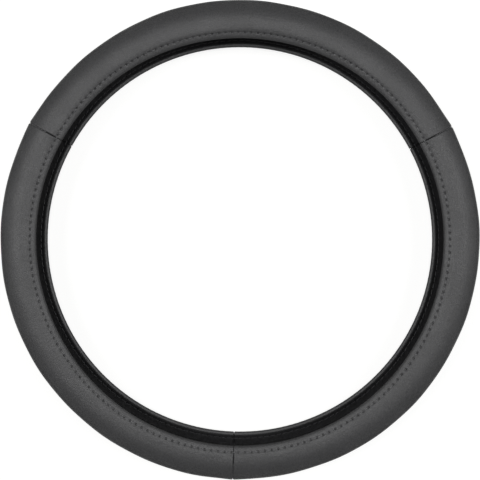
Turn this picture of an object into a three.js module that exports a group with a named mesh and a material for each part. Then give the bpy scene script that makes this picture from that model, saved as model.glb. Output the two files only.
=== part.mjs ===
// Slip-on steering wheel cover: three leather panels sewn end to end into a ring, with their
// long edges folded over a moulded rubber ring and topstitched. It lies on its back: +Z is the
// front of the cover, +Y its top, and the origin is the ring's centre on the resting plane.

import * as THREE from 'three';

// Driving dimensions in millimetres
const OUTER_DIAMETER = 385;
const TUBE_DIAMETER = 38;
const SLOT_WIDTH = 20; // opening along the inside of the ring, where the rim goes in
const REST_FLAT = 6; // width of the band that is pressed flat underneath
const LEATHER = 1.1;
const RUBBER = 2.4;
const RUBBER_EDGE = 0.9; // thickness at the two long edges
const LAYER_GAP = 0.3; // clearance between parts that touch

// Long edges: the fold, the hem inside it and the topstitch row
const STITCH_INSET = 7; // from the edge of the fold to the row
const HEM_MARGIN = 5; // leather inside, past the row
const TAPER_MARGIN = 4; // from the hem's end to the rubber's full thickness
const TOPSTITCH_THREAD = 0.5;
const STITCH_GROOVE_WIDTH = 3.2;

// Cross seams: the panels' ends are turned under, which raises the leather beside each seam
const SEAM_GAP = 0.3;
const SEAM_RIDGE = 0.7;
const SEAM_ALLOWANCE = 7;
const SEAM_BLEND = 5; // from the ridge back to the plain wall
const SEAM_THREAD = 0.4;
const SEAM_GROOVE_WIDTH = 2.7;

// Places of the cross seams, in degrees round the ring, counterclockwise from +X
const RIGHT_SEAM_DEGREES = 28;
const LEFT_SEAM_DEGREES = 151;
const BOTTOM_SEAM_DEGREES = 268.3;

// Ribs moulded along the inner face of the rubber, for grip on the rim
const RIB_COUNT = 6;
const RIB_HEIGHT = 0.7;

// Facets
const RING_SEGMENTS = 45;
const WALL_SEGMENTS = 10;
const FOLD_SEGMENTS = 3;
const THREAD_SIDES = 4;

// The tube's section
const tubeRadius = TUBE_DIAMETER / 2;
const ringRadius = OUTER_DIAMETER / 2 - tubeRadius;
const tubeHeight = Math.sqrt(tubeRadius ** 2 - (REST_FLAT / 2) ** 2);
const flatHalfAngle = Math.asin(REST_FLAT / TUBE_DIAMETER);
const liningRadius = tubeRadius - LEATHER;
const rubberRadius = liningRadius - LAYER_GAP;

// The folded edges
const foldOuter = RUBBER_EDGE / 2 + LAYER_GAP + LEATHER;
const foldInner = RUBBER_EDGE / 2 + LAYER_GAP;
const foldRadius = tubeRadius - foldOuter;
const lipAngle = Math.PI - Math.asin((SLOT_WIDTH / 2 + foldOuter) / foldRadius);
const stitchLength = STITCH_INSET - foldOuter;
const hemLength = stitchLength + HEM_MARGIN;
const taperLength = hemLength + TAPER_MARGIN;
const stitchAngle = angleFromLip(stitchLength);
const stitchGroove = TOPSTITCH_THREAD / 2 + LAYER_GAP;
const stitchGrooveAngle = STITCH_GROOVE_WIDTH / 2 / tubeRadius;

// The seams
const seamGroove = SEAM_THREAD + LAYER_GAP;
const ringStep = 2 * Math.PI / RING_SEGMENTS;

// Stations of the wall between the stitch rows, from back to front: the two edges of the
// resting flat, then even steps. The seam ridges fade out at the first and the last of them.
const flatStart = -Math.PI / 2 - flatHalfAngle;
const flatEnd = -Math.PI / 2 + flatHalfAngle;
const wallEnd = stitchAngle - stitchGrooveAngle;
const ridgeAngles = [flatStart, ...evenAngles(flatEnd, wallEnd, WALL_SEGMENTS).slice(0, -1)];
const layerAngles = [-lipAngle, -wallEnd, ...ridgeAngles, wallEnd, lipAngle];

// Angle in the section of a point this far from the fold, along the middle of the wall.
function angleFromLip(length) {
  return lipAngle - length / foldRadius;
}

function evenAngles(start, end, count) {
  return Array.from({ length: count + 1 }, (_, i) => start + (end - start) * i / count);
}

// A point of the section, as its distance from the ring's axis and its height. Angle 0 faces
// away from the axis and 90 degrees is the front. Each layer is pressed flat underneath.
function sectionPoint(radius, angle) {
  const lowest = Math.max(tubeRadius - radius, 0);
  const height = Math.max(tubeHeight + radius * Math.sin(angle), lowest);
  return new THREE.Vector2(ringRadius + radius * Math.cos(angle), height);
}

// Points between the ends of the half circle round a long edge. Side is 1 in front, -1 behind.
function foldPoints(radius, segments, side) {
  const turns = evenAngles(0, Math.PI, segments).slice(1, -1);
  return turns.map((turn) => new THREE.Vector2(
    ringRadius + foldRadius * Math.cos(lipAngle) + radius * Math.cos(lipAngle + turn),
    tubeHeight + side * (foldRadius * Math.sin(lipAngle) + radius * Math.sin(lipAngle + turn)),
  ));
}

// Radius of the rubber's inner face, which tapers towards the fold.
function gripRadius(length) {
  const share = Math.min(length / taperLength, 1);
  return rubberRadius - RUBBER_EDGE - (RUBBER - RUBBER_EDGE) * share;
}

// One face of the hem from the fold to its end, lying this deep over the rubber.
function hemFace(depth, side) {
  return [0, stitchLength, hemLength].map((length) => (
    sectionPoint(gripRadius(length) - depth, side * angleFromLip(length))
  ));
}

// Rise of the ridge and depth of the groove at this distance from a seam.
function seamRelief(distance) {
  const past = (distance - SEAM_ALLOWANCE) / SEAM_BLEND;
  const grooveRun = (SEAM_GROOVE_WIDTH - SEAM_GAP) / 2;
  const inside = (SEAM_GROOVE_WIDTH / 2 - distance) / grooveRun;
  return {
    rise: SEAM_RIDGE * THREE.MathUtils.clamp(1 - past, 0, 1),
    dip: seamGroove * THREE.MathUtils.clamp(inside, 0, 1),
  };
}

// The leather's face on the ridge, sunk by the groove where there is one.
function ridgePoint(angle, { rise, dip }) {
  const inward = new THREE.Vector2(-Math.cos(angle), -Math.sin(angle));
  return sectionPoint(tubeRadius + rise, angle).addScaledVector(inward, dip);
}

// Grain side of a panel between the folds, with the sunk topstitch rows.
function wallFace(relief) {
  const row = (side) => sectionPoint(tubeRadius - stitchGroove, side * stitchAngle);
  const plain = (angle) => sectionPoint(tubeRadius, angle);
  const grooveEdge = stitchAngle + stitchGrooveAngle;
  return [
    plain(-lipAngle), plain(-grooveEdge), row(-1), plain(-wallEnd),
    ...ridgeAngles.map((angle) => ridgePoint(angle, relief)),
    plain(wallEnd), row(1), plain(grooveEdge), plain(lipAngle),
  ];
}

// Outline of the folded leather: grain side from the back hem to the front hem, then the
// flesh side back again.
function panelOutline(relief) {
  const grainDepth = LAYER_GAP + LEATHER;
  return [
    ...hemFace(grainDepth, -1).reverse(),
    ...foldPoints(foldOuter, FOLD_SEGMENTS, -1).reverse(),
    ...wallFace(relief),
    ...foldPoints(foldOuter, FOLD_SEGMENTS, 1),
    ...hemFace(grainDepth, 1),
    ...hemFace(LAYER_GAP, 1).reverse(),
    ...foldPoints(foldInner, FOLD_SEGMENTS - 1, 1).reverse(),
    ...layerAngles.map((angle) => sectionPoint(liningRadius, angle)).reverse(),
    ...foldPoints(foldInner, FOLD_SEGMENTS - 1, -1),
    ...hemFace(LAYER_GAP, -1),
  ];
}

// Outline of the rubber: its outer face, an edge, the ribbed inner face and the other edge.
function rubberOutline() {
  const taper = [0, stitchLength, hemLength].map((length) => (
    { angle: angleFromLip(length), radius: gripRadius(length) }
  ));
  const ribEnd = angleFromLip(taperLength);
  const ribs = evenAngles(ribEnd, -ribEnd, 2 * RIB_COUNT).map((angle, i) => (
    { angle, radius: gripRadius(taperLength) - RIB_HEIGHT * (i % 2) }
  ));
  const back = taper.map(({ angle, radius }) => ({ angle: -angle, radius })).reverse();
  return [
    ...layerAngles.map((angle) => sectionPoint(rubberRadius, angle)),
    ...foldPoints(RUBBER_EDGE / 2, FOLD_SEGMENTS - 1, 1),
    ...[...taper, ...ribs, ...back].map(({ angle, radius }) => sectionPoint(radius, angle)),
    ...foldPoints(RUBBER_EDGE / 2, FOLD_SEGMENTS - 1, -1).reverse(),
  ];
}

// Turns a closed outline about the ring's axis, with its first facet starting at +X.
function revolve(outline) {
  const profile = [...outline, outline[0]];
  return new THREE.LatheGeometry(profile, RING_SEGMENTS, Math.PI / 2).rotateX(Math.PI / 2);
}

// Puts a point of the section at an angle round the ring. Between the ring's segments it lies
// on their flat facets, so that layers turned in different ways keep their clearance.
function placeOnRing(point, angle) {
  const past = THREE.MathUtils.euclideanModulo(angle, ringStep) - ringStep / 2;
  const radius = point.x * Math.cos(ringStep / 2) / Math.cos(past);
  return new THREE.Vector3(radius * Math.cos(angle), radius * Math.sin(angle), point.y);
}

// Joins sections into a closed body. The cap is the flat outline of both ends, which runs
// counterclockwise when it is seen from outside the first end.
function loft(sections, cap) {
  const size = cap.length;
  const indices = [];
  for (let row = 0; row < sections.length - 1; row += 1) {
    for (let i = 0; i < size; i += 1) {
      const here = row * size + i;
      const next = row * size + (i + 1) % size;
      indices.push(here, next + size, next, here, here + size, next + size);
    }
  }
  const last = (sections.length - 1) * size;
  THREE.ShapeUtils.triangulateShape(cap, []).forEach(([a, b, c]) => {
    indices.push(a, b, c, last + a, last + c, last + b);
  });
  const geometry = new THREE.BufferGeometry().setFromPoints(sections.flat());
  geometry.setIndex(indices);
  geometry.computeVertexNormals();
  return geometry;
}

// A panel from one seam to the next, in degrees: sections close together over the ridge at
// each end, and one at each of the ring's segments between.
function panelGeometry(startDegrees, endDegrees) {
  const start = THREE.MathUtils.degToRad(startDegrees);
  const end = THREE.MathUtils.degToRad(endDegrees);
  const ridgeEnd = SEAM_ALLOWANCE + SEAM_BLEND;
  const distances = [SEAM_GAP / 2, SEAM_GROOVE_WIDTH / 2, SEAM_ALLOWANCE, ridgeEnd];
  const stations = distances.map((distance) => ({ angle: start + distance / ringRadius, distance }));
  const plainEnd = end - ridgeEnd / ringRadius;
  let angle = (Math.floor((start + ridgeEnd / ringRadius) / ringStep) + 1) * ringStep;
  for (; angle < plainEnd; angle += ringStep) {
    stations.push({ angle, distance: ridgeEnd });
  }
  [...distances].reverse().forEach((distance) => {
    stations.push({ angle: end - distance / ringRadius, distance });
  });
  const sections = stations.map((station) => (
    panelOutline(seamRelief(station.distance)).map((point) => placeOnRing(point, station.angle))
  ));
  return loft(sections, panelOutline(seamRelief(SEAM_GAP / 2)));
}

// Corners of a thread's section.
function threadOutline(diameter) {
  return evenAngles(0, 2 * Math.PI, THREAD_SIDES).slice(0, -1).map((turn) => (
    new THREE.Vector2(Math.cos(turn), Math.sin(turn)).multiplyScalar(diameter / 2)
  ));
}

// A thread that runs all round the ring at one place of the section.
function ringThreadGeometry(radius, angle) {
  const centre = sectionPoint(radius, angle);
  return revolve(threadOutline(TOPSTITCH_THREAD).map((corner) => corner.add(centre)));
}

// A thread that lies in the groove of a seam, flush with the ridges beside it.
function seamThreadGeometry(degrees) {
  const seam = THREE.MathUtils.degToRad(degrees);
  const along = new THREE.Vector3(-Math.sin(seam), Math.cos(seam), 0);
  const cap = threadOutline(SEAM_THREAD);
  const relief = { rise: SEAM_RIDGE, dip: SEAM_THREAD / 2 };
  const sections = ridgeAngles.map((angle) => {
    const centre = placeOnRing(ridgePoint(angle, relief), seam);
    const outward = new THREE.Vector3(
      Math.cos(angle) * Math.cos(seam),
      Math.cos(angle) * Math.sin(seam),
      Math.sin(angle),
    );
    return cap.map((corner) => (
      centre.clone().addScaledVector(along, corner.x).addScaledVector(outward, corner.y)
    ));
  });
  return loft(sections, cap);
}

const leather = { color: 0x3c3c3e, roughness: 0.6, metalness: 0 };
const rubber = { color: 0x1b1b1c, roughness: 0.9, metalness: 0 };
const nylonThread = { color: 0x242426, roughness: 0.5, metalness: 0 };

const cover = new THREE.Group();

function addPiece(name, geometry, finish) {
  const mesh = new THREE.Mesh(geometry, new THREE.MeshStandardMaterial(finish));
  mesh.name = name;
  cover.add(mesh);
}

addPiece('rubber_inner_ring', revolve(rubberOutline()), rubber);

addPiece('upper_panel', panelGeometry(RIGHT_SEAM_DEGREES, LEFT_SEAM_DEGREES), leather);
addPiece('left_panel', panelGeometry(LEFT_SEAM_DEGREES, BOTTOM_SEAM_DEGREES), leather);
addPiece('right_panel', panelGeometry(BOTTOM_SEAM_DEGREES, RIGHT_SEAM_DEGREES + 360), leather);

const hemFaceRadius = gripRadius(stitchLength) - LAYER_GAP - LEATHER;
const bobbinRadius = hemFaceRadius - LAYER_GAP - TOPSTITCH_THREAD / 2;
for (const [place, side] of [['front', 1], ['back', -1]]) {
  const angle = side * stitchAngle;
  addPiece(`${place}_topstitch_thread`, ringThreadGeometry(tubeRadius, angle), nylonThread);
  addPiece(`${place}_bobbin_thread`, ringThreadGeometry(bobbinRadius, angle), nylonThread);
}

addPiece('right_seam_thread', seamThreadGeometry(RIGHT_SEAM_DEGREES), nylonThread);
addPiece('left_seam_thread', seamThreadGeometry(LEFT_SEAM_DEGREES), nylonThread);
addPiece('bottom_seam_thread', seamThreadGeometry(BOTTOM_SEAM_DEGREES), nylonThread);

export default cover;
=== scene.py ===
import math

import bpy
import numpy as np
from bpy.props import FloatProperty, FloatVectorProperty, IntProperty, PointerProperty
from mathutils import Matrix, Vector


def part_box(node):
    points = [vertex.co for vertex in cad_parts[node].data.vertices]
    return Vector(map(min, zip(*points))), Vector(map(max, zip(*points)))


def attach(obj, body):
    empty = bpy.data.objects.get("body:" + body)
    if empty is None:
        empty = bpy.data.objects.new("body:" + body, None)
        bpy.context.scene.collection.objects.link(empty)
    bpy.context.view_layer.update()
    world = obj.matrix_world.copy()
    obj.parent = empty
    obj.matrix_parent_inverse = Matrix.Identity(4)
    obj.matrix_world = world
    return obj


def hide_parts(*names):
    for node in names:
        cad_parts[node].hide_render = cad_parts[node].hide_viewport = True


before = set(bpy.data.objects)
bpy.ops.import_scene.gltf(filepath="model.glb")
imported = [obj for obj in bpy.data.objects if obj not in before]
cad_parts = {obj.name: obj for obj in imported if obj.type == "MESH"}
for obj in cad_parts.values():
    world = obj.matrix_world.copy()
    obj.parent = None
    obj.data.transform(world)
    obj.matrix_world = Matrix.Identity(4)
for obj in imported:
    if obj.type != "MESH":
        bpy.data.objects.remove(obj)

bl_info = {
    "name": "Steering Wheel Cover",
    "version": (1, 0, 0),
    "blender": (4, 5, 0),
    "location": "3D View > Sidebar > Cover",
    "description": "Models a slip-on leather cover: its panels, lining ring and threads",
    "category": "Object",
}

# The frame gives the ring's size: the right panel reaches its full radius at +X.
RING_RADIUS_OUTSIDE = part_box("right_panel")[1][0]
BODY = "root"
UV_MAP = "cover_map"
FULL_TURN = 2 * math.pi
SMOOTH_UNDER = math.radians(50)
WELD = 0.00001

# The front fold settles by turning the wall round the tube. The wall shifts between these
# section angles, from the tube's shoulder to just short of the row, and what would move by
# less than the last length stays where it is.
SETTLE_START = 0.4
SETTLE_SHORT_OF_ROW = 0.2
SETTLE_LEAST = 1e-6

# Small forms of the leather, in metres: the groove that a row presses, the pit at a needle
# hole, the pillows on both sides of a row, the gathers of a hem and the swells of the wall.
ROW_WIDTH = 0.0014
PIT_DEPTH = 0.00060
PIT_WIDTH = 0.0008
PILLOW_HEIGHT = 0.00010
PILLOW_PLACE = 0.0030
PILLOW_WIDTH_AT_FOLD = 0.0016
PILLOW_WIDTH_AT_WALL = 0.0018
GATHER_HEIGHT = 0.00016
SWELL_HEIGHT = 0.00012

# Radius of the dark inside of a needle hole, and where its shade ends.
HOLE_RADIUS = 0.00055
HOLE_SHADE_RADIUS = 0.00095

# The hem is marked less by the row than the wall is, and the leather's outline has closer
# points from this far behind the row.
HEM_DEPTH_SHARE = 0.55
ROW_ZONE = 0.0045

# How far the seam threads run round the tube from its outside, to both sides, and how far
# they stay clear of the resting plane.
SEAM_REACH = math.radians(99)
SEAM_CLEARANCE = 0.0008


def linear(hex_colour):
    """An sRGB hex value such as #2f2f30 as the linear colour that shaders and properties take."""
    channels = [int(hex_colour[i:i + 2], 16) / 255 for i in (1, 3, 5)]
    return tuple(
        c / 12.92 if c <= 0.04045 else ((c + 0.055) / 1.055) ** 2.4 for c in channels
    )


def length(name, default, description):
    return FloatProperty(name=name, default=default, description=description, unit="LENGTH")


def turn(name, degrees, description):
    return FloatProperty(
        name=name, default=math.radians(degrees), description=description, subtype="ANGLE"
    )


def colour(name, hex_colour, description):
    return FloatVectorProperty(
        name=name, default=linear(hex_colour), description=description,
        subtype="COLOR", min=0, max=1,
    )


class CoverSizes(bpy.types.PropertyGroup):
    ring_radius: length("Ring radius", RING_RADIUS_OUTSIDE, "From the axis to the outside")
    tube_diameter: length("Tube", 0.038, "Across the leather tube")
    slot_width: length("Slot", 0.020, "Opening along the inside, where the rim goes in")
    rest_flat: length("Pressed band", 0.006, "Width of the band pressed flat underneath")
    leather: length("Leather", 0.0011, "Thickness of the leather")
    rubber: length("Rubber", 0.0024, "Thickness of the rubber behind the leather")
    rubber_edge: length("Rubber edge", 0.0009, "Thickness of the rubber at its long edges")
    layer_gap: length("Layer gap", 0.0003, "Clearance between the leather and the rubber")
    stitch_inset: length("Stitch inset", 0.0050, "From the fold's edge to the topstitch row")
    hem_margin: length("Hem margin", 0.0070, "Leather turned in past the row")
    front_ease: length("Front ease", 0.0019, "How far the front fold is drawn back")
    front_sag: length("Front sag", 0.0021, "What that gains at the bottom and loses at the top")
    taper_margin: length("Taper margin", 0.004, "From the hem's end to full rubber")
    stitches: IntProperty(name="Stitches", default=199, description="Stitches in one row")
    row_depth: length("Row depth", 0.00012, "How far the thread pulls the leather in")
    thread: length("Topstitch thread", 0.0006, "Diameter of the thread in the rows")
    rib_height: length("Rib height", 0.0007, "Height of the ribs inside the rubber")
    ribs: IntProperty(name="Ribs", default=6, description="Ribs along the rubber's inner face")
    seam_gap: length("Seam gap", 0.00002, "Between two panels at a cross seam")
    seam_ridge: length("Seam ridge", 0.0007, "Rise of the leather over the turned-in ends")
    seam_allowance: length("Seam allowance", 0.007, "Leather turned in at a cross seam")
    seam_blend: length("Seam blend", 0.010, "From the turned-in ends back to the plain wall")
    seam_groove: length("Seam groove", 0.0012, "Depth of the groove along a cross seam")
    seam_shoulder: length("Seam shoulder", 0.0014, "Width of the rounded edge at a seam")
    seam_thread: length("Seam thread", 0.0004, "Diameter of the thread in a cross seam")
    seam_stitch: length("Seam stitch", 0.0030, "Length of a stitch in a cross seam")
    right_seam: turn("Right seam", 28, "Place of the right seam, from +X")
    left_seam: turn("Left seam", 151, "Place of the left seam, from +X")
    bottom_seam: turn("Bottom seam", 268.3, "Place of the bottom seam, from +X")


class CoverColours(bpy.types.PropertyGroup):
    leather: colour("Leather", "#2f2f30", "Charcoal of the leather's grain")
    # Painted shade: the grain's creases get this darker colour, standing in for the shade that
    # falls in them.
    crease_shade: colour("Painted crease shade", "#1e1e1f", "Leather in the creases of the grain")
    hole: colour("Needle hole", "#080809", "Shade inside the needle holes")
    rubber: colour("Rubber", "#1a1a1b", "Black of the moulded rubber")
    thread: colour("Thread", "#2c2c2e", "Charcoal nylon")
    floor: colour("Floor", "#80807e", "Grey under the white that the camera sees")


class Section:
    """The tube's section worked out from the sizes. Angle 0 faces away from the ring's axis,
    and 90 degrees is the front."""

    def __init__(self, s):
        self.tube = s.tube_diameter / 2
        self.ring = s.ring_radius - self.tube
        self.middle = math.sqrt(self.tube ** 2 - (s.rest_flat / 2) ** 2)
        self.flat = math.asin(s.rest_flat / s.tube_diameter)
        self.rubber = self.tube - s.leather - s.layer_gap
        self.rubber_wall = s.rubber
        self.rubber_edge = s.rubber_edge
        self.hem_depth = s.layer_gap + s.leather
        self.fold = s.rubber_edge / 2 + self.hem_depth
        self.fold_at = self.tube - self.fold
        self.lip = math.pi - math.asin((s.slot_width / 2 + self.fold) / self.fold_at)
        self.row_length = s.stitch_inset - self.fold
        self.hem_length = self.row_length + s.hem_margin
        self.taper_length = self.hem_length + s.taper_margin
        self.row = self.from_lip(self.row_length)
        self.front_ease = s.front_ease / self.fold_at
        self.front_sag = s.front_sag / self.fold_at
        self.stitch_turn = FULL_TURN / s.stitches

    def from_lip(self, along):
        """Angle of a place this far from the fold, along the middle of the wall."""
        return self.lip - along / self.fold_at

    def point(self, radius, angle):
        """Distance from the ring's axis and height. Each layer is pressed flat underneath."""
        lowest = np.maximum(self.tube - radius, 0)
        height = np.maximum(self.middle + radius * np.sin(angle), lowest)
        return np.stack(np.broadcast_arrays(self.ring + radius * np.cos(angle), height), axis=-1)

    def fold_points(self, radius, steps, side):
        """Points between the ends of the half circle round a long edge."""
        turns = self.lip + np.linspace(0, math.pi, steps + 1)[1:-1]
        x = self.ring + self.fold_at * math.cos(self.lip) + radius * np.cos(turns)
        z = self.fold_at * math.sin(self.lip) + radius * np.sin(turns)
        return np.stack([x, self.middle + side * z], axis=-1)

    def grip(self, along):
        """Radius of the rubber's inner face, which tapers towards the fold."""
        share = np.minimum(along / self.taper_length, 1)
        return self.rubber - self.rubber_edge - (self.rubber_wall - self.rubber_edge) * share

    def measure(self, points):
        """Ring angle, section radius and section angle of an array of points."""
        out = np.hypot(points[:, 0], points[:, 1]) - self.ring
        up = points[:, 2] - self.middle
        ring_angle = np.arctan2(points[:, 1], points[:, 0])
        return ring_angle, np.hypot(out, up), np.arctan2(up, out)


def smooth(low, high, value):
    """Rises from 0 at low to 1 at high with soft ends."""
    share = np.clip((value - low) / (high - low), 0, 1)
    return share * share * (3 - 2 * share)


def bump(value, width):
    """A round bump of height 1 about 0."""
    return np.exp(-(value / width) ** 2)


def wrap(angle):
    """The same angle between half a turn back and half a turn on."""
    return (angle + math.pi) % FULL_TURN - math.pi


def points_of(piece):
    """A piece's vertices as rows of x, y and z."""
    found = np.empty(len(piece.data.vertices) * 3)
    piece.data.vertices.foreach_get("co", found)
    return found.reshape(-1, 3)


def select_alone(piece):
    bpy.ops.object.select_all(action="DESELECT")
    bpy.context.view_layer.objects.active = piece
    piece.select_set(True)


def edit(piece):
    """Puts one piece alone in edit mode."""
    select_alone(piece)
    bpy.ops.object.mode_set(mode="EDIT")


def leave_edit():
    bpy.ops.object.mode_set(mode="OBJECT")


def draw_line(name, points):
    """A chain of edges through points of space, drawn by extruding one vertex. Its last vertex
    is left selected in edit mode."""
    bpy.ops.object.select_all(action="DESELECT")
    bpy.ops.mesh.primitive_plane_add(size=0.001, location=points[0])
    piece = bpy.context.object
    piece.name = piece.data.name = name
    bpy.ops.object.transform_apply(location=True)
    edit(piece)
    bpy.ops.mesh.select_all(action="SELECT")
    bpy.ops.mesh.merge(type="CENTER")
    for step in np.diff(np.asarray(points), axis=0):
        bpy.ops.mesh.extrude_vertices_move(TRANSFORM_OT_translate={"value": tuple(step)})
    return piece


def draw_section(name, outline):
    """A chain of edges in the plane of the section at ring angle 0."""
    return draw_line(name, [(x, 0, z) for x, z in outline])


def turn_selected(angle):
    """Turns what is selected about the ring's axis. With no window a turn runs backwards."""
    bpy.ops.transform.rotate(value=-angle, orient_axis="Z", center_override=(0, 0, 0))


def spin_selected(angle, steps):
    """Sweeps the selected edges on round the ring. With no window a spin runs backwards."""
    bpy.ops.mesh.spin(steps=steps, angle=-angle, center=(0, 0, 0), axis=(0, 0, 1))


def apply_modifiers(piece):
    select_alone(piece)
    for modifier in list(piece.modifiers):
        bpy.ops.object.modifier_apply(modifier=modifier.name)


def relief(piece, name, heights, direction="NORMAL"):
    """Raises and sinks points by their heights, painted as weights for two Displaces."""
    for side, sign in (("raised", 1), ("sunk", -1)):
        amounts = np.clip(sign * heights, 0, None)
        peak = float(amounts.max())
        if peak == 0:
            continue
        group = piece.vertex_groups.new(name=f"{name}_{side}")
        for index in np.nonzero(amounts)[0]:
            group.add([int(index)], float(amounts[index] / peak), "REPLACE")
        modifier = piece.modifiers.new(f"{name}_{side}", "DISPLACE")
        modifier.vertex_group = group.name
        modifier.direction = direction
        modifier.mid_level = 0
        modifier.strength = sign * peak
    apply_modifiers(piece)
    piece.vertex_groups.clear()


def press_flat(piece):
    """Flattens what would reach under the resting plane."""
    edit(piece)
    bpy.ops.mesh.select_all(action="DESELECT")
    leave_edit()
    piece.data.vertices.foreach_set("select", points_of(piece)[:, 2] < 0)
    edit(piece)
    bpy.ops.transform.resize(value=(1, 1, 0), center_override=(0, 0, 0))
    leave_edit()


def lay_out(piece, section):
    """A UV map in metres: along the ring, and round the section from its outside. Each face
    counts its ring angles on from its first corner, so that none spans a whole turn."""
    mesh = piece.data
    ring_angle, _, angle = section.measure(points_of(piece))

    def read(items, attribute):
        found = np.empty(len(items), dtype=int)
        items.foreach_get(attribute, found)
        return found

    corners = read(mesh.loops, "vertex_index")
    starts = read(mesh.polygons, "loop_start")
    first = np.repeat(corners[starts], read(mesh.polygons, "loop_total"))
    along = ring_angle[first] + wrap(ring_angle[corners] - ring_angle[first])
    layer = mesh.uv_layers[0] if mesh.uv_layers else mesh.uv_layers.new()
    layer.name = UV_MAP
    uv = np.stack([along * section.ring, angle[corners] * section.tube], axis=-1)
    layer.data.foreach_set("uv", uv.ravel())


def settle_front(piece, section):
    """Draws the front fold back round the tube, with its row, hem and rubber, as a cover sits
    that is pulled on by hand: least at the top and most at the bottom."""
    points = points_of(piece)
    ring_angle, radius, angle = section.measure(points)
    drawn = section.front_ease - section.front_sag * np.sin(ring_angle) ** 3
    settle_end = section.row - SETTLE_SHORT_OF_ROW
    settled = angle - drawn * smooth(SETTLE_START, settle_end, angle)
    out = section.ring + radius * np.cos(settled)
    moved = np.stack([
        out * np.cos(ring_angle), out * np.sin(ring_angle),
        section.middle + radius * np.sin(settled),
    ], axis=-1)
    for axis, direction in enumerate("XYZ"):
        shift = (moved - points)[:, axis]
        shift[np.abs(shift) < SETTLE_LEAST] = 0
        relief(piece, f"settle_{direction}", shift, direction)


def finish_piece(piece, material, nodes):
    """Smooth faces, the finish, and the CAD nodes that the piece stands for."""
    select_alone(piece)
    bpy.ops.object.shade_smooth_by_angle(angle=SMOOTH_UNDER)
    piece.data.materials.clear()
    piece.data.materials.append(material)
    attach(piece, BODY)
    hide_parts(*nodes)


def add(tree, kind, inputs=None, **settings):
    """Adds a node, sets its settings, and gives each input a value or a link from a socket."""
    made = tree.nodes.new(kind)
    for name, value in settings.items():
        setattr(made, name, value)
    for name, value in (inputs or {}).items():
        if isinstance(value, bpy.types.NodeSocket):
            tree.links.new(value, made.inputs[name])
        else:
            made.inputs[name].default_value = value
    return made


def empty_tree(owner):
    """The node tree of a material or world, with nothing in it."""
    owner.use_nodes = True
    owner.node_tree.nodes.clear()
    return owner.node_tree


def new_material(name):
    """A material with its shader and its output."""
    material = bpy.data.materials.new(name)
    tree = empty_tree(material)
    shader = add(tree, "ShaderNodeBsdfPrincipled")
    add(tree, "ShaderNodeOutputMaterial", {"Surface": shader.outputs["BSDF"]})
    return material, tree, shader


def rgba(value):
    return (*value, 1)


def per_metre(millimetres):
    """Scale of a pattern whose cells are this many millimetres wide."""
    return 1000 / millimetres


def pebbled_grain(tree, place):
    """A pressed grain of small pebbles over soft wrinkles: how far a place lies out of the
    creases, and its height. Pebbles on such leather are 0.5 to 1 mm wide and are drawn at
    1 mm, because finer ones wouldn't show in the render."""
    wrinkle_width, pebble_width, pore_width = 2.2, 1.0, 0.45
    crease_share = 0.24
    dome_height, pore_height, wrinkle_height = 0.9, 0.6, 3.5
    wander = (0.0008, 0.0008, 0.0008)

    wrinkles = add(tree, "ShaderNodeTexNoise", {
        "Vector": place, "Scale": per_metre(wrinkle_width), "Detail": 3.0,
    })
    warped = add(tree, "ShaderNodeVectorMath", {
        0: wrinkles.outputs["Color"], 1: wander, 2: place,
    }, operation="MULTIPLY_ADD")
    edges = add(tree, "ShaderNodeTexVoronoi", {
        "Vector": warped.outputs["Vector"], "Scale": per_metre(pebble_width),
    }, feature="DISTANCE_TO_EDGE")
    out_of_crease = add(tree, "ShaderNodeMapRange", {
        "Value": edges.outputs["Distance"], "From Min": 0.0, "From Max": crease_share,
    }, interpolation_type="SMOOTHSTEP")
    centres = add(tree, "ShaderNodeTexVoronoi", {
        "Vector": warped.outputs["Vector"], "Scale": per_metre(pebble_width), "Smoothness": 0.8,
    }, feature="SMOOTH_F1")
    pores = add(tree, "ShaderNodeTexNoise", {
        "Vector": place, "Scale": per_metre(pore_width), "Detail": 3.0,
    })
    height = out_of_crease.outputs["Result"]
    for layer, weight in (
        (centres.outputs["Distance"], -dome_height),
        (pores.outputs["Fac"], pore_height),
        (wrinkles.outputs["Fac"], wrinkle_height),
    ):
        height = add(tree, "ShaderNodeMath", {
            0: layer, 1: weight, 2: height,
        }, operation="MULTIPLY_ADD").outputs[0]
    return out_of_crease.outputs["Result"], height


def needle_holes(tree, section):
    """1 inside the needle holes of both rows, found on the piece's own map. It paints the shade
    inside the holes and sinks them in the bump.
    """
    uv = add(tree, "ShaderNodeUVMap", uv_map=UV_MAP)
    parts = add(tree, "ShaderNodeSeparateXYZ", {"Vector": uv.outputs["UV"]})
    pitch = section.stitch_turn * section.ring
    along = add(tree, "ShaderNodeMath", {
        0: parts.outputs["X"], 1: pitch / 2, 2: -pitch / 2,
    }, operation="WRAP")
    side = add(tree, "ShaderNodeMath", {0: parts.outputs["Y"]}, operation="ABSOLUTE")
    across = add(tree, "ShaderNodeMath", {
        0: side.outputs[0], 1: section.row * section.tube,
    }, operation="SUBTRACT")
    offset = add(tree, "ShaderNodeCombineXYZ", {
        "X": along.outputs[0], "Y": across.outputs[0],
    })
    distance = add(tree, "ShaderNodeVectorMath", {0: offset.outputs[0]}, operation="LENGTH")
    hole = add(tree, "ShaderNodeMapRange", {
        "Value": distance.outputs["Value"],
        "From Min": HOLE_RADIUS, "From Max": HOLE_SHADE_RADIUS,
        "To Min": 1.0, "To Max": 0.0,
    }, interpolation_type="SMOOTHSTEP")
    return hole.outputs["Result"]


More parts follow.
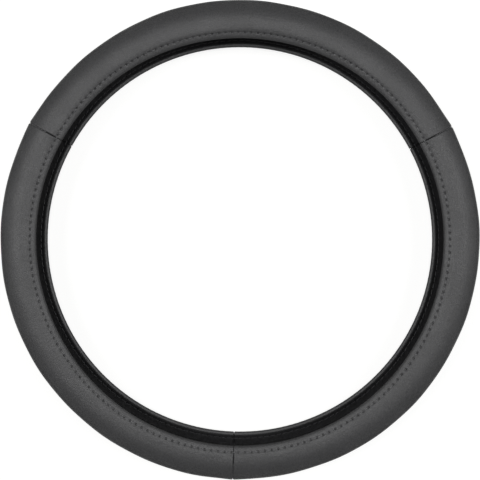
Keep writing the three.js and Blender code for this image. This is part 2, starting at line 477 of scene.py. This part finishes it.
def corrected_grain_leather(colours, section):
    """Cowhide with a pressed, finely pebbled grain and a matt pigmented finish. The pebbles
    spread the light into a broad soft sheen that the pores swallow where the leather turns
    away, and the creases between them get a darker colour as painted shade. Needle holes
    follow both topstitch rows, with painted shade inside them."""
    material, tree, shader = new_material("corrected_grain_leather")
    place = add(tree, "ShaderNodeTexCoord").outputs["Object"]
    out_of_crease, grain = pebbled_grain(tree, place)
    hole = needle_holes(tree, section)

    # Painted shade: the crease colour darkens the grain's creases where shade falls.
    tone = add(tree, "ShaderNodeMix", {
        "Factor": out_of_crease, "A": rgba(colours.crease_shade), "B": rgba(colours.leather),
    }, data_type="RGBA")
    patches = add(tree, "ShaderNodeTexNoise", {
        "Vector": place, "Scale": per_metre(20), "Detail": 4.0,
    })
    patch_tone = add(tree, "ShaderNodeMapRange", {
        "Value": patches.outputs["Fac"], "From Min": 0.3, "From Max": 0.7,
        "To Min": 0.9, "To Max": 1.1,
    })
    shaded = add(tree, "ShaderNodeVectorMath", {
        0: tone.outputs["Result"], "Scale": patch_tone.outputs["Result"],
    }, operation="SCALE")
    # Painted shade: a near-black colour fills each needle hole, standing in for the shade inside
    # it.
    with_hole_shade = add(tree, "ShaderNodeMix", {
        "Factor": hole, "A": shaded.outputs["Vector"], "B": rgba(colours.hole),
    }, data_type="RGBA")
    facing = add(tree, "ShaderNodeLayerWeight", {"Blend": 0.5})
    gloss = add(tree, "ShaderNodeMapRange", {
        "Value": facing.outputs["Facing"], "From Min": 0.05, "From Max": 0.6,
        "To Min": 0.42, "To Max": 0.04,
    })
    worn = add(tree, "ShaderNodeMapRange", {
        "Value": patches.outputs["Fac"], "From Min": 0.3, "From Max": 0.7,
        "To Min": 0.48, "To Max": 0.40,
    })
    depth = add(tree, "ShaderNodeMath", {0: hole, 1: -4.0, 2: grain}, operation="MULTIPLY_ADD")
    surface = add(tree, "ShaderNodeBump", {
        "Height": depth.outputs[0], "Strength": 0.65, "Distance": 0.0001,
    })
    for name, value in {
        "Base Color": with_hole_shade.outputs["Result"],
        "Roughness": worn.outputs["Result"],
        "Specular IOR Level": gloss.outputs["Result"],
        "Normal": surface.outputs["Normal"],
    }.items():
        tree.links.new(value, shader.inputs[name])
    shader.inputs["IOR"].default_value = 1.48
    return material


def moulded_rubber(colours):
    """Natural rubber, compression moulded in a sand-blasted tool: black, dull and slightly
    dusty, with fine cross lines that grip the rim."""
    line_spacing, grit, bloom_width = 1.6, 0.4, 14
    material, tree, shader = new_material("moulded_rubber")
    uv = add(tree, "ShaderNodeUVMap", uv_map=UV_MAP)
    lines = add(tree, "ShaderNodeTexWave", {
        "Vector": uv.outputs["UV"], "Scale": per_metre(line_spacing) / FULL_TURN,
        "Distortion": 0.0,
    }, wave_type="BANDS", bands_direction="X")
    place = add(tree, "ShaderNodeTexCoord").outputs["Object"]
    blast = add(tree, "ShaderNodeTexNoise", {
        "Vector": place, "Scale": per_metre(grit), "Detail": 2.0,
    })
    bloom = add(tree, "ShaderNodeTexNoise", {
        "Vector": place, "Scale": per_metre(bloom_width), "Detail": 4.0,
    })
    dust = add(tree, "ShaderNodeMapRange", {
        "Value": bloom.outputs["Fac"], "From Min": 0.35, "From Max": 0.75,
        "To Min": 1.0, "To Max": 1.5,
    })
    tone = add(tree, "ShaderNodeVectorMath", {
        0: tuple(colours.rubber), "Scale": dust.outputs["Result"],
    }, operation="SCALE")
    height = add(tree, "ShaderNodeMath", {
        0: blast.outputs["Fac"], 1: 0.35, 2: lines.outputs["Fac"],
    }, operation="MULTIPLY_ADD")
    surface = add(tree, "ShaderNodeBump", {
        "Height": height.outputs[0], "Strength": 0.6, "Distance": 0.00025,
    })
    tree.links.new(tone.outputs["Vector"], shader.inputs["Base Color"])
    tree.links.new(surface.outputs["Normal"], shader.inputs["Normal"])
    shader.inputs["Roughness"].default_value = 0.82
    shader.inputs["IOR"].default_value = 1.52
    return material


def bonded_nylon_thread(colours):
    """Three-ply bonded nylon: charcoal, with a fine diagonal twist of the plies, painted lighter
    on their crests and darker between them as highlight and shade, and the slight gloss of the
    bonding resin."""
    ply_spacing = 0.9
    material, tree, shader = new_material("bonded_nylon_thread")
    uv = add(tree, "ShaderNodeUVMap", uv_map=UV_MAP)
    plies = add(tree, "ShaderNodeTexWave", {
        "Vector": uv.outputs["UV"], "Scale": per_metre(ply_spacing) / FULL_TURN,
        "Distortion": 0.0,
    }, wave_type="BANDS", bands_direction="DIAGONAL")
    # Painted highlight and shade: the colour is lighter on the ply crests and darker between
    # them, as light falls on the twist.
    ply_light_and_shade = add(tree, "ShaderNodeMapRange", {
        "Value": plies.outputs["Fac"], "To Min": 0.55, "To Max": 1.35,
    })
    tone = add(tree, "ShaderNodeVectorMath", {
        0: tuple(colours.thread), "Scale": ply_light_and_shade.outputs["Result"],
    }, operation="SCALE")
    surface = add(tree, "ShaderNodeBump", {
        "Height": plies.outputs["Fac"], "Strength": 0.7, "Distance": 0.0001,
    })
    tree.links.new(tone.outputs["Vector"], shader.inputs["Base Color"])
    tree.links.new(surface.outputs["Normal"], shader.inputs["Normal"])
    shader.inputs["Roughness"].default_value = 0.4
    shader.inputs["IOR"].default_value = 1.53
    return material


def leather_outline(section):
    """Grain side of the leather, from the back hem's end to the front hem's end."""
    hem = np.linspace(0, section.hem_length, 8)
    hem_front = section.point(section.grip(hem) - section.hem_depth, section.from_lip(hem))
    hem_back = section.point(section.grip(hem) - section.hem_depth, -section.from_lip(hem))
    fold = section.fold_points(section.fold, 7, 1)
    fold_back = section.fold_points(section.fold, 7, -1)
    row_zone = section.row - ROW_ZONE / section.tube
    edge_zone = np.linspace(row_zone, section.lip, 17)
    flat = (-math.pi / 2 - section.flat, -math.pi / 2 + section.flat)
    wall = np.concatenate([
        -edge_zone[::-1],
        np.linspace(-row_zone, flat[0], 3)[1:-1],
        np.linspace(*flat, 4),
        np.linspace(flat[1], row_zone, 23)[1:-1],
        edge_zone,
    ])
    return np.concatenate([
        hem_back[::-1], fold_back[::-1], section.point(section.tube, wall), fold, hem_front,
    ])


def seam_relief(section, sizes, seams, ring_angle, row_distance, free_of_row):
    """The wall rises to a ridge over the turned-in ends and drops into a groove between them,
    which is shallower where the rows hold the leather down."""
    distance = np.min([np.abs(wrap(ring_angle - seam)) for seam in seams], axis=0) * section.ring
    ridge_end = sizes.seam_allowance + sizes.seam_blend
    ridge = np.clip(1 - distance / ridge_end, 0, 1) ** 2
    edge = np.clip(1 - (distance - sizes.seam_gap / 2) / sizes.seam_shoulder, 0, 1)
    shoulder = 1 - np.sqrt(1 - edge ** 2)
    shallow = 0.45 + 0.55 * smooth(-0.001, 0.004, row_distance)
    return sizes.seam_ridge * ridge * free_of_row - sizes.seam_groove * shoulder * shallow


def row_relief(section, sizes, stitch, angle, outside):
    """Each row is sunk, with a pit at every needle hole and pillows between the holes."""
    hole = np.abs(stitch - np.round(stitch)) * section.stitch_turn * section.ring
    across = np.abs(angle) * section.tube - section.row * section.tube
    beat = np.cos(FULL_TURN * stitch)
    sunk = sizes.row_depth * bump(across, ROW_WIDTH) * (1 + 0.3 * beat)
    pit = PIT_DEPTH * bump(np.hypot(hole, across), PIT_WIDTH)
    at_fold = bump(across - PILLOW_PLACE, PILLOW_WIDTH_AT_FOLD)
    at_wall = bump(across + PILLOW_PLACE, PILLOW_WIDTH_AT_WALL)
    pillow = PILLOW_HEIGHT * (at_fold + at_wall) * (1 - 0.5 * beat)
    return np.where(outside, 1.0, HEM_DEPTH_SHARE) * (pillow - sunk - pit)


def leather_relief(section, sizes, points, seams):
    """Heights of the grain side: the seams, the rows, the gathers of the hems and the small
    swells that handling leaves in the wall, three waves that never quite repeat."""
    ring_angle, radius, angle = section.measure(points)
    outside = radius > section.rubber
    row_distance = (section.row - np.abs(angle)) * section.tube
    free_of_row = smooth(0.0012, 0.0060, row_distance) * outside
    stitch = ring_angle / section.stitch_turn

    gathers = np.cos(FULL_TURN * stitch / 2 + 2.1 * np.sin(9 * ring_angle))
    hem = smooth(0.001, 0.005, row_distance) * ~outside
    swell = np.sin(7 * ring_angle + 1.3) * np.sin(2.2 * angle + 0.6)
    swell += 0.7 * np.sin(17 * ring_angle + 2.0 * angle) * np.cos(1.4 * angle - 0.4)
    swell += 0.5 * np.sin(31 * ring_angle - 3.1 * angle + 1.0)

    heights = seam_relief(section, sizes, seams, ring_angle, row_distance, free_of_row)
    heights += row_relief(section, sizes, stitch, angle, outside)
    heights += GATHER_HEIGHT * gathers * hem
    heights += SWELL_HEIGHT * swell * free_of_row
    return heights


class COVER_OT_leather_panels(bpy.types.Operator):
    """Model the three leather panels, with folded edges, hems and raised seams"""

    bl_idname = "cover.leather_panels"
    bl_label = "Leather Panels"

    def execute(self, context):
        sizes = context.scene.cover_sizes
        section = Section(sizes)
        seams = [sizes.right_seam, sizes.left_seam, sizes.bottom_seam]
        material = corrected_grain_leather(context.scene.cover_colours, section)
        spans = {
            "upper_leather": (sizes.right_seam, sizes.left_seam, "upper_panel"),
            "left_leather": (sizes.left_seam, sizes.bottom_seam, "left_panel"),
            "right_leather": (sizes.bottom_seam, sizes.right_seam + FULL_TURN, "right_panel"),
        }
        for name, (start, end, node) in spans.items():
            panel = self.sweep(name, section, sizes, start, end)
            grain_points = len(panel.data.vertices)
            self.thicken(panel, sizes.leather)
            points = points_of(panel)
            heights = leather_relief(section, sizes, points, seams)
            heights[grain_points:] = 0
            relief(panel, "relief", heights)
            press_flat(panel)
            lay_out(panel, section)
            settle_front(panel, section)
            finish_piece(panel, material, [node])
        return {"FINISHED"}

    def sweep(self, name, section, sizes, start, end):
        """The grain side of one panel: close steps beside its seams, and between them steps
        that meet every needle hole."""
        groove_steps, ridge_steps, steps_to_a_stitch = 6, 14, 6
        gap = sizes.seam_gap / 2 / section.ring
        groove = gap + sizes.seam_shoulder / section.ring
        ridge = (sizes.seam_allowance + sizes.seam_blend) / section.ring
        first_hole = math.ceil((start + ridge) / section.stitch_turn)
        last_hole = math.floor((end - ridge) / section.stitch_turn)
        stations = [
            (start + groove, groove_steps),
            (first_hole * section.stitch_turn, ridge_steps),
            (last_hole * section.stitch_turn, (last_hole - first_hole) * steps_to_a_stitch),
            (end - groove, ridge_steps),
            (end - gap, groove_steps),
        ]
        panel = draw_section(name, leather_outline(section))
        bpy.ops.mesh.select_all(action="SELECT")
        reached = start + gap
        turn_selected(reached)
        for station, steps in stations:
            spin_selected(station - reached, steps)
            reached = station
        bpy.ops.mesh.select_all(action="SELECT")
        bpy.ops.mesh.flip_normals()
        leave_edit()
        return panel

    def thicken(self, panel, thickness):
        """Gives the grain side its flesh side and closes the edges between them."""
        modifier = panel.modifiers.new("leather", "SOLIDIFY")
        modifier.thickness = thickness
        modifier.offset = -1
        modifier.use_even_offset = True
        apply_modifiers(panel)


def rubber_outline(section):
    """Closed outline of the lining ring: outer face, front edge, inner face, back edge."""
    wall = np.linspace(-section.lip, section.lip, 37)
    taper = np.linspace(0, section.taper_length, 9)
    grip_end = section.from_lip(section.taper_length)
    ribbed = np.linspace(grip_end, -grip_end, 97)[1:-1]
    grip = section.grip(section.taper_length)
    edge = section.rubber_edge / 2
    outline = np.concatenate([
        section.point(section.rubber, wall),
        section.fold_points(edge, 4, 1),
        section.point(section.grip(taper), section.from_lip(taper)),
        section.point(grip, ribbed),
        section.point(section.grip(taper), -section.from_lip(taper))[::-1],
        section.fold_points(edge, 4, -1)[::-1],
    ])
    return np.concatenate([outline, outline[:1]])


class COVER_OT_rubber_ring(bpy.types.Operator):
    """Model the rubber lining ring, with ribs along its inner face"""

    bl_idname = "cover.rubber_ring"
    bl_label = "Rubber Ring"

    def execute(self, context):
        sizes = context.scene.cover_sizes
        section = Section(sizes)
        ring = draw_section("rubber_lining", rubber_outline(section))
        bpy.ops.mesh.select_all(action="SELECT")
        bpy.ops.mesh.remove_doubles(threshold=WELD)
        spin_selected(FULL_TURN, 180)
        bpy.ops.mesh.select_all(action="SELECT")
        bpy.ops.mesh.remove_doubles(threshold=WELD)
        bpy.ops.mesh.normals_make_consistent(inside=False)
        leave_edit()
        relief(ring, "ribs", self.rib_heights(section, sizes, points_of(ring)))
        lay_out(ring, section)
        settle_front(ring, section)
        material = moulded_rubber(context.scene.cover_colours)
        finish_piece(ring, material, ["rubber_inner_ring"])
        return {"FINISHED"}

    def rib_heights(self, section, sizes, points):
        """Rounded ribs, evenly spaced between the two tapers."""
        _, radius, angle = section.measure(points)
        grip_end = section.from_lip(section.taper_length)
        pitch = 2 * grip_end / sizes.ribs
        phase = (angle + grip_end) / pitch
        wave = 0.5 - 0.5 * np.cos(FULL_TURN * phase)
        inside = (radius < section.rubber - section.rubber_edge) & (np.abs(angle) < grip_end)
        return np.where(inside, sizes.rib_height * smooth(0.35, 0.9, wave), 0)


# One stitch: share of its length, and height over the leather. It rises out of one needle
# hole, lies on the leather and dives into the next hole.
STITCH_PATH = [
    (0.085, -0.00100), (0.105, -0.00048), (0.15, -0.00014), (0.27, 0.00004), (0.50, 0.00010),
    (0.73, 0.00004), (0.85, -0.00014), (0.895, -0.00048), (0.915, -0.00100),
]


def thread_from_line(piece, diameter):
    """Turns a chain of edges into a round thread along it."""
    leave_edit()
    bpy.ops.object.convert(target="CURVE")
    piece.data.bevel_depth = diameter / 2
    piece.data.bevel_resolution = 1
    piece.data.use_fill_caps = True
    bpy.ops.object.convert(target="MESH")


def repeat(piece, step, count):
    """Copies a stitch along its row, each copy moved on by the same step."""
    marker = bpy.data.objects.new("row_step", None)
    bpy.context.collection.objects.link(marker)
    marker.matrix_world = step
    bpy.context.view_layer.update()
    modifier = piece.modifiers.new("row", "ARRAY")
    modifier.use_relative_offset = False
    modifier.use_object_offset = True
    modifier.offset_object = marker
    modifier.count = count
    apply_modifiers(piece)
    bpy.data.objects.remove(marker)


def ring_row(name, section, sizes, side, radius, outward):
    """A row of stitches all round the ring, on the outside or the inside of the wall. Each
    stitch slants a little, as a lockstitch does."""
    slant = 0.00022 * side
    path = []
    for share, height in STITCH_PATH:
        angle = side * section.row + slant * (share - 0.5) * 2 / radius
        x, z = section.point(radius + outward * height, angle)
        ring_angle = share * section.stitch_turn
        path.append((x * math.cos(ring_angle), x * math.sin(ring_angle), z))
    row = draw_line(name, path)
    thread_from_line(row, sizes.thread)
    repeat(row, Matrix.Rotation(section.stitch_turn, 4, "Z"), sizes.stitches)
    lay_out(row, section)
    settle_front(row, section)
    return row


class COVER_OT_topstitching(bpy.types.Operator):
    """Sew the front and back rows: upper thread outside, bobbin thread on the hem"""

    bl_idname = "cover.topstitching"
    bl_label = "Topstitching"

    def execute(self, context):
        sizes = context.scene.cover_sizes
        section = Section(sizes)
        material = bonded_nylon_thread(context.scene.cover_colours)
        outside = section.tube - sizes.row_depth - sizes.thread * 0.15
        hem = section.grip(section.row_length) - section.hem_depth
        inside = hem + sizes.row_depth * HEM_DEPTH_SHARE - sizes.thread * 0.2
        layers = (("upper", "topstitch", outside, 1), ("bobbin", "bobbin", inside, -1))
        for place, side in (("front", 1), ("back", -1)):
            for thread, node, radius, outward in layers:
                name = f"{place}_{thread}_stitches"
                row = ring_row(name, section, sizes, side, radius, outward)
                finish_piece(row, material, [f"{place}_{node}_thread"])
        return {"FINISHED"}


class COVER_OT_seam_threads(bpy.types.Operator):
    """Lay the stitches that show in the grooves of the three cross seams"""

    bl_idname = "cover.seam_threads"
    bl_label = "Seam Threads"

    def execute(self, context):
        sizes = context.scene.cover_sizes
        section = Section(sizes)
        material = bonded_nylon_thread(context.scene.cover_colours)
        depth_in_threads, height_share = 1.6, 0.6
        radius = section.tube + sizes.seam_ridge - sizes.seam_thread * depth_in_threads
        count = round(2 * SEAM_REACH * radius / sizes.seam_stitch)
        step = 2 * SEAM_REACH / count
        path = []
        for share, height in STITCH_PATH:
            angle = -SEAM_REACH + share * step
            r = radius + height * height_share
            path.append((
                section.ring + r * math.cos(angle), 0.0, section.middle + r * math.sin(angle),
            ))
        first = draw_line("seam_stitches", path)
        thread_from_line(first, sizes.seam_thread)
        centre = Vector((section.ring, 0, section.middle))
        onward = Matrix.Translation(centre) @ Matrix.Rotation(-step, 4, "Y")
        repeat(first, onward @ Matrix.Translation(-centre), count)
        relief(first, "lift", self.lift(section, radius, points_of(first)), direction="Z")
        places = {
            "right": sizes.right_seam, "left": sizes.left_seam, "bottom": sizes.bottom_seam,
        }
        for place, seam in places.items():
            thread = first.copy()
            thread.data = first.data.copy()
            thread.name = thread.data.name = f"{place}_seam_stitches"
            context.collection.objects.link(thread)
            edit(thread)
            bpy.ops.mesh.select_all(action="SELECT")
            turn_selected(seam)
            leave_edit()
            lay_out(thread, section)
            settle_front(thread, section)
            finish_piece(thread, material, [f"{place}_seam_thread"])
        bpy.data.objects.remove(first)
        return {"FINISHED"}

    def lift(self, section, radius, points):
        """How far the thread is pushed up where the cover rests on its back."""
        _, _, angle = section.measure(points)
        lowest = section.tube - radius + SEAM_CLEARANCE
        return np.clip(lowest - (section.middle + radius * np.sin(angle)), 0, None)


def seen_by_eye(tree):
    """1 for what the camera sees, directly, mirrored or through something clear. Lamps and
    diffuse light get 0."""
    path = add(tree, "ShaderNodeLightPath")
    seen = path.outputs["Is Camera Ray"]
    for ray in ("Is Glossy Ray", "Is Transmission Ray"):
        seen = add(tree, "ShaderNodeMath", {
            0: seen, 1: path.outputs[ray],
        }, operation="MAXIMUM").outputs[0]
    return seen


class COVER_OT_stage(bpy.types.Operator):
    """Set the pale floor, the soft lights and the camera over the cover"""

    bl_idname = "cover.stage"
    bl_label = "Stage"

    def execute(self, context):
        colours = context.scene.cover_colours
        self.floor(colours)
        self.world(context.scene)
        self.lights()
        self.camera(context.scene)
        context.scene.view_settings.view_transform = "Standard"
        return {"FINISHED"}

    def floor(self, colours):
        """A wide pale sheet just under the cover. It keeps the cover's shadow, and further
        off the camera sees it as white as the world behind it."""
        under_cover = -0.0003
        near, far = 0.25, 1.0
        glow_near, glow_far = 0.84, 1.0
        bpy.ops.object.select_all(action="DESELECT")
        bpy.ops.mesh.primitive_plane_add(size=8, location=(0, 0, under_cover))
        floor = bpy.context.object
        floor.name = "floor"
        bpy.ops.object.transform_apply(location=True)
        material = bpy.data.materials.new("pale_floor")
        tree = empty_tree(material)
        lit = add(tree, "ShaderNodeBsdfDiffuse", {"Color": rgba(colours.floor)})
        place = add(tree, "ShaderNodeTexCoord").outputs["Object"]
        distance = add(tree, "ShaderNodeVectorMath", {0: place}, operation="LENGTH")
        share = add(tree, "ShaderNodeMapRange", {
            "Value": distance.outputs["Value"], "From Min": near, "From Max": far,
            "To Min": glow_near, "To Max": glow_far,
        })
        white = add(tree, "ShaderNodeMath", {
            0: seen_by_eye(tree), 1: share.outputs["Result"],
        }, operation="MULTIPLY")
        glow = add(tree, "ShaderNodeEmission", {"Strength": white.outputs[0]})
        both = add(tree, "ShaderNodeAddShader", {
            0: lit.outputs["BSDF"], 1: glow.outputs["Emission"],
        })
        add(tree, "ShaderNodeOutputMaterial", {"Surface": both.outputs["Shader"]})
        floor.data.materials.append(material)

    def world(self, scene):
        """Dim even light from all round, and plain white where the camera sees past the floor."""
        white, fill_strength, seen_strength = (1, 1, 1, 1), 0.02, 1.0
        scene.world = bpy.data.worlds.new("studio")
        tree = empty_tree(scene.world)
        fill = add(tree, "ShaderNodeBackground", {"Color": white, "Strength": fill_strength})
        seen = add(tree, "ShaderNodeBackground", {"Color": white, "Strength": seen_strength})
        mix = add(tree, "ShaderNodeMixShader", {
            0: seen_by_eye(tree), 1: fill.outputs[0], 2: seen.outputs[0],
        })
        add(tree, "ShaderNodeOutputWorld", {"Surface": mix.outputs[0]})

    def lights(self):
        """Soft boxes that all face the cover: one overhead, a strong pair at the sides and a
        weak pair low down. Each has a name, a place, a size in metres and a power in watts."""
        boxes = [
            ("overhead", (0.0, 0.06, 0.65), 0.4, 1.7),
            ("left_high", (-0.85, 0.15, 1.10), 0.6, 9.5),
            ("right_high", (0.90, 0.15, 1.05), 0.6, 8.8),
            ("left_low", (-1.37, 0.0, 0.24), 0.6, 1.6),
            ("right_low", (1.37, 0.0, 0.24), 0.6, 2.2),
        ]
        for name, place, size, power in boxes:
            bpy.ops.object.light_add(type="AREA", location=place)
            light = bpy.context.object
            light.name = light.data.name = name
            light.data.size = size
            light.data.energy = power
            aim = -Vector(place)
            light.rotation_euler = aim.to_track_quat("-Z", "Y").to_euler()

    def camera(self, scene):
        """Straight over the cover, with the ring filling the picture as it does in the photo:
        one pixel of 480 shows this much of the plane through the tube's middle."""
        over_middle = 0.5
        pixel = 0.000809
        picture = 480 * pixel
        right, down = 0.1 * pixel, 0.6 * pixel
        middle = Section(scene.cover_sizes).middle
        place = (right, -down, middle + over_middle)
        bpy.ops.object.camera_add(location=place, rotation=(0, 0, 0))
        camera = bpy.context.object
        camera.data.sensor_width = 36
        camera.data.lens = camera.data.sensor_width * over_middle / picture
        camera.data.clip_start = 0.01
        scene.camera = camera


class COVER_PT_sidebar(bpy.types.Panel):
    """Lists what can be modelled, in the order of making"""

    bl_idname = "COVER_PT_sidebar"
    bl_label = "Steering Wheel Cover"
    bl_space_type = "VIEW_3D"
    bl_region_type = "UI"
    bl_category = "Cover"

    def draw(self, context):
        for operator in OPERATORS:
            self.layout.operator(operator.bl_idname)
        for name in CoverSizes.__annotations__:
            self.layout.prop(context.scene.cover_sizes, name)
        for name in CoverColours.__annotations__:
            self.layout.prop(context.scene.cover_colours, name)


OPERATORS = (
    COVER_OT_rubber_ring,
    COVER_OT_leather_panels,
    COVER_OT_topstitching,
    COVER_OT_seam_threads,
    COVER_OT_stage,
)
CLASSES = (CoverSizes, CoverColours, *OPERATORS, COVER_PT_sidebar)


def register():
    for cls in CLASSES:
        bpy.utils.register_class(cls)
    bpy.types.Scene.cover_sizes = PointerProperty(type=CoverSizes)
    bpy.types.Scene.cover_colours = PointerProperty(type=CoverColours)


def unregister():
    del bpy.types.Scene.cover_colours
    del bpy.types.Scene.cover_sizes
    for cls in reversed(CLASSES):
        bpy.utils.unregister_class(cls)


def main():
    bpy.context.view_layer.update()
    register()
    bpy.ops.cover.rubber_ring()
    bpy.ops.cover.leather_panels()
    bpy.ops.cover.topstitching()
    bpy.ops.cover.seam_threads()
    bpy.ops.cover.stage()


if __name__ == "__main__":
    main()
